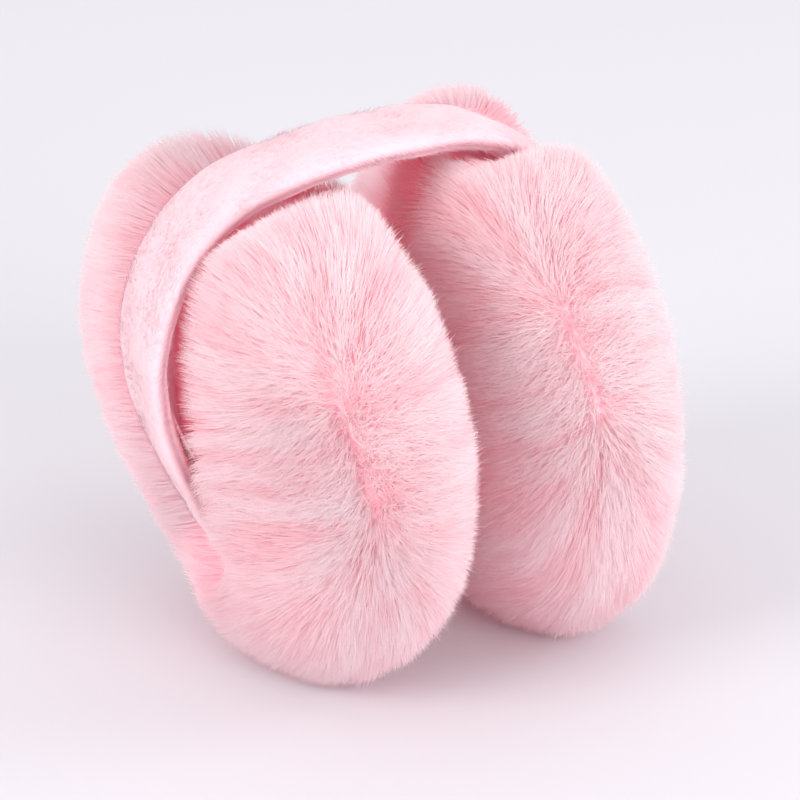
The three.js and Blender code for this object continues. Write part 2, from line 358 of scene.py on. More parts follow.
class Ripple:
    """A smooth random field: a sum of sine waves of many directions and one band of wavelengths."""

    def __init__(self, seed: int, short_mm: float, long_mm: float, waves: int = 28) -> None:
        """Draws the waves.

        Args:
            seed: random seed.
            short_mm: shortest wavelength.
            long_mm: longest wavelength.
            waves: how many waves are summed.
        """
        draw = np.random.default_rng(seed)
        self.wave = unit(draw.normal(size=(waves, 3))) * (
            2 * np.pi / (draw.uniform(short_mm, long_mm, (waves, 1)) * MM))
        self.phase = draw.uniform(0, 2 * np.pi, waves)
        self.scale = math.sqrt(2 / waves)

    def value(self, points: Array) -> Array:
        """Height of the field, about -2 to 2."""
        return self.scale * np.sin(points @ self.wave.T + self.phase).sum(1)

    def pull(self, points: Array, strength: float) -> Array:
        """Step towards the field's crests: strength times slope over the mean squared wave number."""
        slope = self.scale * np.cos(points @ self.wave.T + self.phase) @ self.wave
        return slope * strength / (self.wave ** 2).sum(1).mean()


@dataclass
class Arch:
    """The headband's middle line over both pads, in the plane Y = 0, and its padded section.

    The band's ends go under the fur at entry_height, from entry_below under it to entry_above over
    it. The pinch is the slope and round of the fur beside the band, softened over pinch_soft. Where
    lips rise through lap_lips, the fur laps over the band's edge by lap, within lap_rise over it. Fur
    starts edge_inset inside the band's edge, fades in from fade_deep to fade_out under the band, and
    flares off the front edge at the heights flare_over. The section's ends keep end_width, end_depth.
    """

    shift_x: float
    width: float = 22 * MM
    thickness: float = 6 * MM
    squareness: float = 3.0
    entry_height: float = 33 * MM
    hub_height: float = 60 * MM
    samples_per_span: int = 14
    pinch_slope: float = 0.4
    pinch_round: float = 40 * MM
    pinch_soft: float = 2 * MM
    lap: float = 4 * MM
    lap_lips: Span = (0.5 * MM, 3 * MM)
    lap_rise: float = 1.5 * MM
    edge_inset: float = 0.3 * MM
    fade_deep: float = 2.2 * MM
    fade_out: float = 0.2 * MM
    flare_over: Span = (-3 * MM, 4 * MM)
    entry_below: float = 8 * MM
    entry_above: float = 2 * MM
    end_width: float = 0.5
    end_depth: float = 0.4
    # x mm, z mm, twist in degrees (front edge outwards), how far the fur stands off the front edge, and
    # the heights over the band's middle to which it holds the fur down at its front and back edge, in mm
    rows: tuple[tuple[float, ...], ...] = (
        (-30, 18, 12, 0, 8, 8), (-37.5, 28, 18, 1, 6, 6), (-46, 38.5, 18, 1, 4, 4),
        (-54, 51, 16, 1, 3, 3), (-60, 64, 13, 2, 3, 2), (-62.5, 77.5, 9, 6, 2, 1),
        (-62.4, 84.5, 5, 0.5, 5, 0), (-61, 92, 2, 0.3, 5, 0), (-54.5, 104.5, -1, 0.2, 2.5, -1),
        (-42, 114.5, -4, 0.5, -3, -3), (-22, 119.8, -4, 1, -6.5, -6), (0, 121.5, -4, 1, -8, -8),
        (20, 119.5, -3, 0.5, -4, 5), (33.5, 112, 0, 0.2, 4.5, 12), (44, 100.5, 4, 0.2, 6, 12),
        (50.5, 86, 6, 1, 4, 4), (53.5, 70, 8, 1, 4, 4), (52.5, 55, 10, 1, 4, 4),
        (46.5, 42, 10, 1, 5, 5), (38, 30, 8, 1, 6, 6), (31, 19, 4, 0, 8, 8))

    def __post_init__(self) -> None:
        """Samples the centripetal Catmull-Rom curve through the rows, and its polar table."""
        table = np.array(self.rows, float)
        knots = table[:, :2] * MM
        line, columns = [], []
        padded = np.vstack([2 * knots[0] - knots[1], knots, 2 * knots[-1] - knots[-2]])
        for i in range(len(knots) - 1):
            p0, p1, p2, p3 = padded[i:i + 4]
            t1 = math.sqrt(np.linalg.norm(p1 - p0))
            t2 = t1 + math.sqrt(np.linalg.norm(p2 - p1))
            t3 = t2 + math.sqrt(np.linalg.norm(p3 - p2))
            share = np.linspace(0, 1, self.samples_per_span, endpoint=False)[:, None]
            t = t1 + (t2 - t1) * share
            a1 = ((t1 - t) * p0 + t * p1) / t1
            a2 = ((t2 - t) * p1 + (t - t1) * p2) / (t2 - t1)
            a3 = ((t3 - t) * p2 + (t - t2) * p3) / (t3 - t2)
            b1 = ((t2 - t) * a1 + t * a2) / t2
            b2 = ((t3 - t) * a2 + (t - t1) * a3) / (t3 - t1)
            line.append(((t2 - t) * b1 + (t - t1) * b2) / (t2 - t1))
            columns.append(table[i, 2:] * (1 - share) + table[i + 1, 2:] * share)
        self.line = np.vstack(line + [knots[-1:]])
        self.twist, *lips = np.vstack(columns + [table[-1:, 2:]]).T
        self.twist = np.radians(self.twist)
        self.flare, self.front_lip, self.back_lip = np.array(lips) * MM
        along = unit(np.gradient(self.line, axis=0))
        self.along = along
        self.outward = np.stack([-along[:, 1], along[:, 0]], 1)
        hub = self.line - [0, self.hub_height]
        self.turn = self._turn(hub)
        self.radius = np.linalg.norm(hub, axis=1)
        self.facing = (unit(hub) * self.outward).sum(1)

    @staticmethod
    def _turn(from_hub: Array) -> Array:
        """Clockwise angle from straight down, 0 to 2 pi, of points seen from the hub."""
        return (-np.pi / 2 - np.arctan2(from_hub[:, 1], from_hub[:, 0])) % (2 * np.pi)

    def section(self, sides: int) -> tuple[Array, Array]:
        """Sweeps the rounded section along the line: superellipse cos^(2/n), sin^(2/n).

        Towards each end its width draws in as the square root of 1 - c t^2, with t the way to the end.

        Args:
            sides: points round the section.

        Returns:
            Points (stations, sides, 3) and their outward directions, of the same shape.
        """
        angle = -2 * np.pi * (np.arange(sides) + 0.5) / sides
        station = np.arange(len(self.line))
        from_end = np.minimum(np.minimum(station, station[::-1]) / (self.samples_per_span / 2), 1)
        taper = np.sqrt(1 - (1 - from_end) ** 2 * (1 - self.end_width ** 2))[:, None]
        w = self.width / 2 * taper * rounded(np.cos(angle), self.squareness)[None, :]
        n = self.thickness / 2 * (self.end_depth + (1 - self.end_depth) * taper)
        n = n * rounded(np.sin(angle), self.squareness)[None, :]
        front, out = self.frames()
        w, n = w[..., None], n[..., None]
        front, out = front[:, None, :], out[:, None, :]
        points = self.middle()[:, None, :] + w * front + n * out
        beside = np.sign(w) * (np.abs(w) / (self.width / 2)) ** 3
        return points, unit(beside * front + n / (self.thickness / 2) * out)

    def middle(self) -> Array:
        """Middle line as 3-D points in the row frame."""
        return np.stack([self.line[:, 0] + self.shift_x, np.zeros(len(self.line)), self.line[:, 1]], 1)

    def frames(self) -> tuple[Array, Array]:
        """Directions towards the band's front edge and out of its face, twist included."""
        c, s = np.cos(self.twist), np.sin(self.twist)
        front = np.stack([self.outward[:, 0] * s, -c, self.outward[:, 1] * s], 1)
        out = np.stack([self.outward[:, 0] * c, s, self.outward[:, 1] * c], 1)
        return front, out

    def locate(self, points: Array) -> tuple[Array, Array, Array]:
        """Where points lie against the headband.

        Args:
            points: (n, 3) places in the row frame.

        Returns:
            Height over the band's middle surface, the turn round the hub, and a weight that is 1 along
            the arms and 0 where the fur closes under the ends.
        """
        hub = np.stack([points[:, 0] - self.shift_x, points[:, 2] - self.hub_height], 1)
        turn = self._turn(hub)
        radius = np.interp(turn, self.turn, self.radius)
        over = (np.linalg.norm(hub, axis=1) - radius) * np.interp(turn, self.turn, self.facing)
        twist = np.interp(turn, self.turn, self.twist)
        over = over + np.clip(points[:, 1], -self.width / 2, self.width / 2) * np.tan(twist)
        height = self.hub_height - radius * np.cos(turn)
        low, high = self.entry_height - self.entry_below, self.entry_height + self.entry_above
        weight = smoothstep(low, high, height)
        weight = weight * (turn > self.turn[0]) * (turn < self.turn[-1])
        return over, turn, weight

    def inward(self, points: Array) -> Array:
        """Unit directions from points to the hub, square to Y."""
        return unit((np.array([self.shift_x, 0, self.hub_height]) - points) * [1, 0, 1])

    def lip(self, turn: Array, side: Array) -> Array:
        """Height over the band's middle to which it holds the fur down, by the sign of Y of a side."""
        return np.where(side < 0, np.interp(turn, self.turn, self.front_lip),
                        np.interp(turn, self.turn, self.back_lip))

    def pinch(self, points: Array) -> Array:
        """Shift that presses points of the free fur's form down beside the headband.

        The held fur's height over the band is lip + slope d + d^2 / round at a distance d beside it.

        Args:
            points: (n, 3) points of the free form in the row frame.

        Returns:
            (n, 3) shifts towards the hub.
        """
        over, turn, weight = self.locate(points)
        half = self.width / 2
        beyond = np.maximum(np.abs(points[:, 1]) - half, 0)
        lip = self.lip(turn, points[:, 1])
        under = np.maximum(lip, -self.thickness / 2)
        limit = under + (lip - under) * smoothstep(0.5 * half, half, np.abs(points[:, 1]))
        limit = limit + self.pinch_slope * beyond + beyond ** 2 / self.pinch_round
        excess = over - limit
        sink = weight * (excess + np.hypot(excess, self.pinch_soft)) / 2
        return self.inward(points) * (sink / np.interp(turn, self.turn, self.facing))[:, None]

    def part_fur(self, points: Array, side: Array, spread: float = 3 * MM) -> Array:
        """Moves fibre points that would cross the headband to its nearer edge.

        A point over the band's underside, y within its half width h plus a spread s, goes to
        h + s |y| / (h + s) on its own side; below the underside this fades out.

        Args:
            points: (n, 3) places.
            side: (n,) sign of Y of each fibre.
            spread: width of the ridge that the moved fur makes.

        Returns:
            The moved points.
        """
        over, turn, weight = self.locate(points)
        under = -self.thickness / 2
        push = smoothstep(under - self.fade_deep, under - self.fade_out, over) * weight
        flare = np.interp(turn, self.turn, self.flare) * smoothstep(*self.flare_over, over)
        lap = self.lap * smoothstep(*self.lap_lips, self.lip(turn, side))
        lap = lap * smoothstep(-under, -under + self.lap_rise, over)
        half = self.width / 2 - self.edge_inset + np.where(side < 0, flare, 0) - lap
        reach = half + spread
        y = points[:, 1] * side
        moved = np.where(y < reach, half + spread * np.maximum(y, 0) / reach, y)
        out = points.copy()
        out[:, 1] = side * (y + (moved - y) * push)
        return out


@dataclass(frozen=True)
class Coat:
    """One coat of pile: its name and half of the pad, the number and the root width of its fibres, how
    far tips lie from their roots at the parting and far from it, how unevenly they end, and its seed.
    """

    name: str
    face: Face
    count: int
    width: float
    lay_near: float
    lay_far: float
    unevenness: float
    seed: int


GUARD_HAIR = Coat("front_guard_hair", Face.FRONT, 60000, 0.22 * MM, 4 * MM, 15 * MM, 0.6 * MM, 1)
UNDER_HAIR = Coat("front_under_hair", Face.FRONT, 40000, 0.30 * MM, 3 * MM, 11 * MM, 2.0 * MM, 2)
BACK_HAIR = Coat("back_hair", Face.BACK, 42000, 0.36 * MM, 3 * MM, 13 * MM, 0.9 * MM, 3)


@dataclass(frozen=True)
class NearBand:
    """Where fibres' roots lie against the headband: height over it, way beside it, and its hold."""

    over: Array
    beside: Array
    weight: Array


@dataclass
class FurPad:
    """One round deep-pile pad: its pressed rounded form, its soft core and the pile on it.

    The fur parts along a line from whorl to parting, both directions from the pad's middle. Each pad
    is offset from the middle of the pair, leans out by lean degrees and turns by toe degrees; tuck
    is how far its low back is drawn in. The fur's tips lie on the form, and its core is drawn in from
    it by the pile's depth. Fibres that the headband would push aside by more than covered are left out.
    """

    side: Side
    arch: Arch
    offset: float
    lean: float
    centre: float
    whorl: tuple[float, float, float]
    parting: tuple[float, float, float]
    seed: int
    depth: float = 128 * MM
    height: float = 135 * MM
    thickness: float = 62 * MM
    squareness: float = 2.2
    toe: float = 6.0
    pile: float = 7 * MM
    core_rows: int = 60
    core_columns: int = 96
    core_gap: float = 1.5 * MM
    groove_depth: float = 1.2 * MM
    groove_shoulder: float = 4 * MM
    # painted shade on the core: where it is as dark as the groove, and how light it is at least at the
    # back, 0 to 1
    dark_beside: Span = (2 * MM, 10 * MM)
    dark_over: Span = (2 * MM, 6 * MM)
    back_free: float = 0.7
    streak_start: float = 22 * MM
    streak_stretch: float = 4.5
    floor_gap: float = 0.3 * MM
    covered: float = 3.5 * MM
    tuck: float = 0.0
    # where no fibre stands: under the band, past the other pad's side and under the floor
    bald_share: float = 0.45
    bald_past: float = 2.5 * MM
    bald_floor: float = 1.5 * MM
    # a fibre: where its blade has points, its root's way into the core, where it bends, how far it
    # bulges, and the angle by which its blade is rolled
    knots: tuple[float, ...] = (0.0, 0.55, 1.0)
    root_sink: float = 0.5 * MM
    bend_at: float = 0.58
    bulge: float = 1.6 * MM
    roll: float = 0.35
    # the lay: a fibre's own wander and the slow swirl off the flow, how far fibres turn along the band
    # beside it, the spread of lays, the tips' scatter at the parting, and where the lay grows to full
    wander: float = 0.07
    swirl: float = 0.3
    turn_aside: float = 0.6
    turn_beside: Span = (1 * MM, 8 * MM)
    turn_over: Span = (5 * MM, 8 * MM)
    reach: Span = (0.75, 1.2)
    scatter: float = 2 * MM
    near: float = 0.05
    far: float = 0.8
    # tufts and locks: how strongly tips are drawn to their crests, and how much higher they end there
    tuft_pull: float = 0.5
    lock_pull: float = 0.45
    crest_rise: float = 0.35 * MM
    # strays: their share, and how far they end over the form
    stray_share: float = 0.02
    stray_rise: Span = (0.3 * MM, 1.6 * MM)
    # shades, mostly painted shade: of plain fur, what the full lay adds (fur near the parting is painted
    # deeper), what a crest adds (valleys between locks are painted deeper), how much less it does so at the
    # full lay, and their random spread
    plain_shade: float = 0.88
    far_shade: float = 0.04
    crest_shade: float = 0.13
    crest_calm: float = 0.06
    shade_spread: float = 0.05
    # painted shade on fur buried beside the band: how much deeper it is painted, and where
    buried_front: float = 0.95
    buried_back: float = 0.285
    buried_over: Span = (1 * MM, 4 * MM)
    buried_beside: Span = (-2 * MM, 4 * MM)
    buried_deep: Span = (-16 * MM, -6 * MM)
    name: str = field(init=False)

    def __post_init__(self) -> None:
        """Names the pad, works out how it stands and draws its tufts, locks and slow swirl."""
        self.name = self.side.name.lower()
        self.tuft = Ripple(self.seed + 1, 2.5, 4.5)
        self.lock = Ripple(self.seed + 2, 7, 13)
        self.sweep = Ripple(self.seed + 3, 30, 50)
        toe, lean = math.radians(-self.side.value * self.toe), math.radians(-self.lean)
        turn = Matrix.Rotation(toe, 3, "Z") @ Matrix.Rotation(lean, 3, "Y")
        self.turn = np.array(turn)
        self.place = np.array([self.side.value * self.offset + self.arch.shift_x, 0, self.centre])

    def surface(self, u: Array) -> Array:
        """Tips' form about the pad's middle: u over ((round^n + flat^n)^(1/n)), a superellipsoid."""
        around = np.hypot(u[:, 1] / (self.depth / 2), u[:, 2] / (self.height / 2))
        flat = np.abs(u[:, 0]) / (self.thickness / 2)
        return u / ((around ** self.squareness + flat ** self.squareness) ** (1 / self.squareness))[:, None]

    def normal(self, p: Array) -> Array:
        """Outward normal of the form at its own points: the gradient of round^n + flat^n."""
        n = self.squareness
        around = np.hypot(p[:, 1] / (self.depth / 2), p[:, 2] / (self.height / 2))
        half = self.thickness / 2
        g = np.empty_like(p)
        g[:, 0] = np.sign(p[:, 0]) * (np.abs(p[:, 0]) / half) ** (n - 1) / half
        g[:, 1] = around ** (n - 2) * p[:, 1] / (self.depth / 2) ** 2
        g[:, 2] = around ** (n - 2) * p[:, 2] / (self.height / 2) ** 2
        return unit(g)

    def to_row(self, p: Array) -> Array:
        """Turns and shifts points from the pad's middle to the row frame; tucks the low back in."""
        out = p @ self.turn.T + self.place
        low_back = (1 - smoothstep(20 * MM, 80 * MM, out[:, 2])) * smoothstep(0, 25 * MM, out[:, 1])
        out[:, 0] -= self.side.value * self.tuck * low_back
        return out

    def press(self, p: Array, gap: float = 0.2 * MM) -> Array:
        """Presses row-frame points against the other pad's side and the ground."""
        out = p.copy()
        meet = self.arch.shift_x + self.side.value * gap
        out[:, 0] = np.minimum(out[:, 0], meet) if self.side is Side.LEFT else np.maximum(out[:, 0], meet)
        out[:, 2] = np.maximum(out[:, 2], self.floor_gap)
        return out

    def core(self, finish: bpy.types.Material) -> bpy.types.Object:
        """Builds the stuffed core: the form drawn in by the pile's depth, with the band's groove."""
        rows, columns, pole = self.core_rows, self.core_columns, 0.001
        theta = np.linspace(pole, np.pi - pole, rows)[:, None]
        phi = np.linspace(0, 2 * np.pi, columns, endpoint=False)[None, :]
        ring = np.sin(theta)
        u = np.stack([ring * np.cos(phi), np.cos(theta) + 0 * phi, ring * np.sin(phi)], -1)
        form = self.surface(u.reshape(-1, 3))
        points = self.to_row(form - self.normal(form) * self.pile) + self.arch.pinch(self.to_row(form))
        points = self.press(points, self.core_gap)
        over, _, weight = self.arch.locate(points)
        floor = -self.arch.thickness / 2 - self.groove_depth
        beside = np.abs(points[:, 1]) - self.arch.width / 2
        near = 1 - smoothstep(0, self.groove_shoulder, beside)
        sink = np.maximum(over - floor, 0) * near * weight
        points = points + self.arch.inward(points) * sink[:, None]
        faces = grid_faces(rows, columns, closed=True)
        caps = [np.arange(columns)[::-1], (rows - 1) * columns + np.arange(columns)]
        # painted shade: the UV marks the core beside and under the band as groove-dark, least so at the
        # back
        low = 1 - smoothstep(*self.dark_over, over)
        free = 1 - weight * (1 - smoothstep(*self.dark_beside, beside)) * low
        free = np.where(points[:, 1] > 0, np.maximum(free, self.back_free), free)
        piece = make_mesh(f"{self.name}_pad_core", points, faces, finish, np.stack([0 * free, free], 1))
        cap_ends(piece, caps)
        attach(piece, "root")
        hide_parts(f"{self.name}_pad")
        return piece

    def flow(self, u: Array, form: Array, normal: Array) -> tuple[Array, Array, Array]:
        """Way the fur lies: along great circles of directions, away from the nearest point of the parting.

        Args:
            u: directions of the roots from the pad's middle.
            form: points of the form there.
            normal: its normals.

        Returns:
            Unit directions along the surface, how far each root is from the parting in radians, and
            the points where the locks' ripples are read: with r the way from the parting, they lie
            R + r / s from it, so the ripples are drawn out s times along the fur.
        """
        a, b = unit(np.array([self.whorl, self.parting], float))
        share = np.clip((u - a) @ (b - a) / ((b - a) ** 2).sum(), 0, 1)[:, None]
        near = unit(a + (b - a) * share)
        cosine = np.clip((u * near).sum(1, keepdims=True), -1, 1)
        angle = np.arccos(cosine)
        away = self.surface(unit(u + 0.02 * unit(u * cosine - near))) - form
        away = away - normal * (away * normal).sum(1, keepdims=True)
        ray = unit(u - near * cosine)
        drawn_out = self.height / 2 * angle / self.streak_stretch
        streak = self.surface(near) + ray * (self.streak_start + drawn_out)
        return unit(away), angle[:, 0], streak

    def roots(self, count: int, face: Face, draw: np.random.Generator) -> Array:
        """Draws directions of roots, even over one half of the form's surface.

        The chance of a direction is the form's area there, |p|^2 / (n . u), so the roots are even.
        Places under the headband, at the other pad and on the floor get none.

        Args:
            count: how many roots.
            face: the half of the pad.
            draw: random generator.

        Returns:
            (count, 3) unit directions from the pad's middle.
        """
        kept, total = [], 0
        while total < count:
            u = unit(draw.normal(size=(count * 4, 3)))
            u[:, 1] = face.value * np.abs(u[:, 1])
            form = self.surface(u)
            normal = self.normal(form)
            area = (form ** 2).sum(1) / np.maximum((normal * u).sum(1), 0.2)
            u = u[draw.uniform(size=len(u)) < area / area.max()]
            row = self.to_row(self.surface(u))
            row = row + self.arch.pinch(row)
            over, _, weight = self.arch.locate(row)
            under_band = np.abs(row[:, 1]) < self.bald_share * self.arch.width
            hidden = (weight > 0.5) & (over > -self.arch.thickness) & under_band
            pressed = (row[:, 0] - self.arch.shift_x) * self.side.value < -self.bald_past
            u = u[~hidden & ~pressed & (row[:, 2] > -self.bald_floor)]
            kept.append(u)
            total += len(u)
        return np.vstack(kept)[:count]

    def near_band(self, form: Array, held: Array) -> NearBand:
        """Places points of the form, held down by the given shifts, against the headband."""
        row = self.to_row(form)
        over, _, weight = self.arch.locate(row + held)
        return NearBand(over, np.abs(row[:, 1]) - self.arch.width / 2, weight)

    def comb(self, face: Face, form: Array, normal: Array, away: Array, band: NearBand,
             draw: np.random.Generator) -> Array:
        """Turns the flow by a slow swirl and each fibre's own wander, and along the band beside it.

        Args:
            face: the half of the pad.
            form, normal, away: (n, 3) points of the form over the roots, its normals and the flow.
            band: where the roots lie against the headband.
            draw: random generator.

        Returns:
            (n, 3) unit directions in which the fibres lie.
        """
        across = np.cross(normal, away)
        swirl = self.swirl * self.sweep.value(form)[:, None] * across
        away = unit(away + swirl + draw.normal(scale=self.wander, size=away.shape))
        row_away = away @ self.turn.T
        beside = 1 - smoothstep(*self.turn_beside, band.beside)
        block = band.weight * beside * (1 - smoothstep(*self.turn_over, band.over))
        block = block * (row_away[:, 1] * face.value < 0)
        row_away[:, 1] *= 1 - self.turn_aside * block
        return unit(row_away) @ self.turn

    def shades(self, face: Face, far: Array, crest: Array, band: NearBand,
               draw: np.random.Generator) -> Array:
        """Fibres' shades, 0 deep to 1 pale, painted deeper for shade in the valleys between locks, near the
        parting and where the band buries them, and paler on the locks' crests.

        Args:
            face: the half of the pad.
            far, crest: (n,) shares of the full lay, and heights of the tufts and locks.
            band: where the roots lie against the headband.
            draw: random generator.

        Returns:
            (n,) shades.
        """
        shade = self.plain_shade + self.far_shade * far
        shade = shade + (self.crest_shade - self.crest_calm * far) * crest
        shade = shade + draw.normal(scale=self.shade_spread, size=len(far))
        low = 1 - smoothstep(*self.buried_over, band.over)
        buried = band.weight * (1 - smoothstep(*self.buried_beside, band.beside)) * low
        buried = buried * (0.6 + 0.4 * smoothstep(*self.buried_deep, band.over))
        deeper = self.buried_front if face is Face.FRONT else self.buried_back
        return np.clip(shade - deeper * buried, 0, 1)

    def coat(self, coat: Coat, finish: bpy.types.Material) -> bpy.types.Object:
        """Builds one coat of pile as joined tapered blades.

        Each fibre is a quadratic curve from its root, a pile's depth under the form, to a tip on the
        form, a lay's length down the flow. Tips are drawn to the crests of two ripple fields, which
        gathers them in tufts and locks, and parted at the headband.

        Args:
            coat: the coat's sizes.
            finish: the pile's material.

        Returns:
            The piece.
        """
        draw = np.random.default_rng(self.seed * 100 + coat.seed)
        u = self.roots(coat.count, coat.face, draw)
        form = self.surface(u)
        normal = self.normal(form)
        away, angle, streak = self.flow(u, form, normal)
        across = np.cross(normal, away)
        gather = self.tuft.pull(streak, self.tuft_pull) + self.lock.pull(streak, self.lock_pull)
        gather = across * (gather * across).sum(1, keepdims=True)
        root_hold = self.arch.pinch(self.to_row(form))
        band = self.near_band(form, root_hold)
        away = self.comb(coat.face, form, normal, away, band, draw)
        far = smoothstep(self.near, self.far, angle)
        lay = (coat.lay_near + (coat.lay_far - coat.lay_near) * far) * draw.uniform(*self.reach, len(u))
        scatter = draw.normal(scale=self.scatter, size=u.shape) * (1 - far)[:, None]
        tip_form = self.surface(unit(form + away * lay[:, None] + scatter + gather))
        crest = 0.5 * self.tuft.value(streak) + 0.6 * self.lock.value(streak)
        short = np.abs(draw.normal(scale=coat.unevenness, size=len(u))) - crest * self.crest_rise
        stray = draw.uniform(size=len(u)) < self.stray_share
        short = np.where(stray, -draw.uniform(*self.stray_rise, len(u)), short)
        tip = tip_form - self.normal(tip_form) * short[:, None]
        root = form - normal * (self.pile + self.root_sink)
        bend = root * (1 - self.bend_at) + tip * self.bend_at + normal * self.bulge
        tip_hold = self.arch.pinch(self.to_row(tip_form))
        sign = np.where(self.to_row(form)[:, 1] < 0, -1.0, 1.0)
        parted = []
        for s in self.knots:
            free = self.to_row(root * (1 - s) ** 2 + bend * 2 * s * (1 - s) + tip * s ** 2)
            free = free + root_hold * (1 - s) + tip_hold * s
            parted.append(self.press(self.arch.part_fur(free, sign)))
        clear = np.abs(parted[-1][:, 1] - free[:, 1]) < self.covered
        roll = draw.normal(scale=self.roll, size=(len(u), 1))
        shade = self.shades(coat.face, far, crest, band, draw)
        line = np.stack(parted, 1)[clear]
        facing = (normal @ self.turn.T)[clear]
        points, faces, uv, normals = self.blades(coat, line, facing, roll[clear], shade[clear], draw)
        piece = make_mesh(f"{self.name}_pad_{coat.name}", points, faces, finish, uv, normals)
        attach(piece, "root")
        return piece

    def blades(self, coat: Coat, line: Array, facing: Array, roll: Array, shade: Array,
               draw: np.random.Generator) -> tuple[Array, Array, Array, Array]:
        """Turns fibres' points (n, k, 3) into blades: pairs of points across each knot and one tip.

        A blade's width lies along direction x normal, rolled a little, so its face points outwards. Its
        shading normals are nearly the fur's own, so that a lock is lit as one soft mass.

        Args:
            coat: the coat's sizes.
            line: the fibres' points.
            facing, roll, shade: the fur's normals at the roots, the blades' rolls and their shades.
            draw: random generator.

        Returns:
            Points, triangles, UV values and shading normals.
        """
        n, k, _ = line.shape
        knots = np.array(self.knots)
        heading = unit(np.gradient(line, axis=1))
        across = unit(np.cross(heading, facing[:, None, :]))
        lift = np.cross(across, heading)
        across = across * np.cos(roll)[:, None] + lift * np.sin(roll)[:, None]
        taper = (1 - knots[:-1] ** 1.6)[None, :, None]
        half = coat.width / 2 * taper * draw.uniform(0.7, 1.25, (n, 1, 1))
        left = line[:, :-1] - across[:, :-1] * half
        right = line[:, :-1] + across[:, :-1] * half
        pairs = np.stack([left, right], 2).reshape(n, 2 * (k - 1), 3)
        points = np.concatenate([pairs, line[:, -1:]], 1).reshape(-1, 3)
        per = 2 * (k - 1) + 1
        blade = []
        for i in range(0, 2 * (k - 2), 2):
            blade += [(i, i + 1, i + 3), (i, i + 3, i + 2)]
        blade.append((per - 3, per - 2, per - 1))
        faces = (np.arange(n)[:, None, None] * per + np.array(blade)[None]).reshape(-1, 3)
        along = np.append(np.repeat(knots[:-1], 2), 1.0)
        uv = np.stack([np.broadcast_to(along, (n, per)), np.broadcast_to(shade[:, None], (n, per))], -1)
        soft = unit(facing[:, None, :] * 0.88 + np.cross(across, heading) * 0.15 + heading * 0.1)
        normals = np.concatenate([np.repeat(soft[:, :-1], 2, axis=1), soft[:, -1:]], 1)
        return points, faces, uv.reshape(-1, 2), normals.reshape(-1, 3)

    def build(self, pile: bpy.types.Material, back_pile_painted_light: bpy.types.Material,
              core: bpy.types.Material) -> list[bpy.types.Object]:
        """Builds the core and its coats, the front ones denser than those at the back."""
        return [self.core(core), self.coat(GUARD_HAIR, pile), self.coat(UNDER_HAIR, pile),
                self.coat(BACK_HAIR, back_pile_painted_light)]


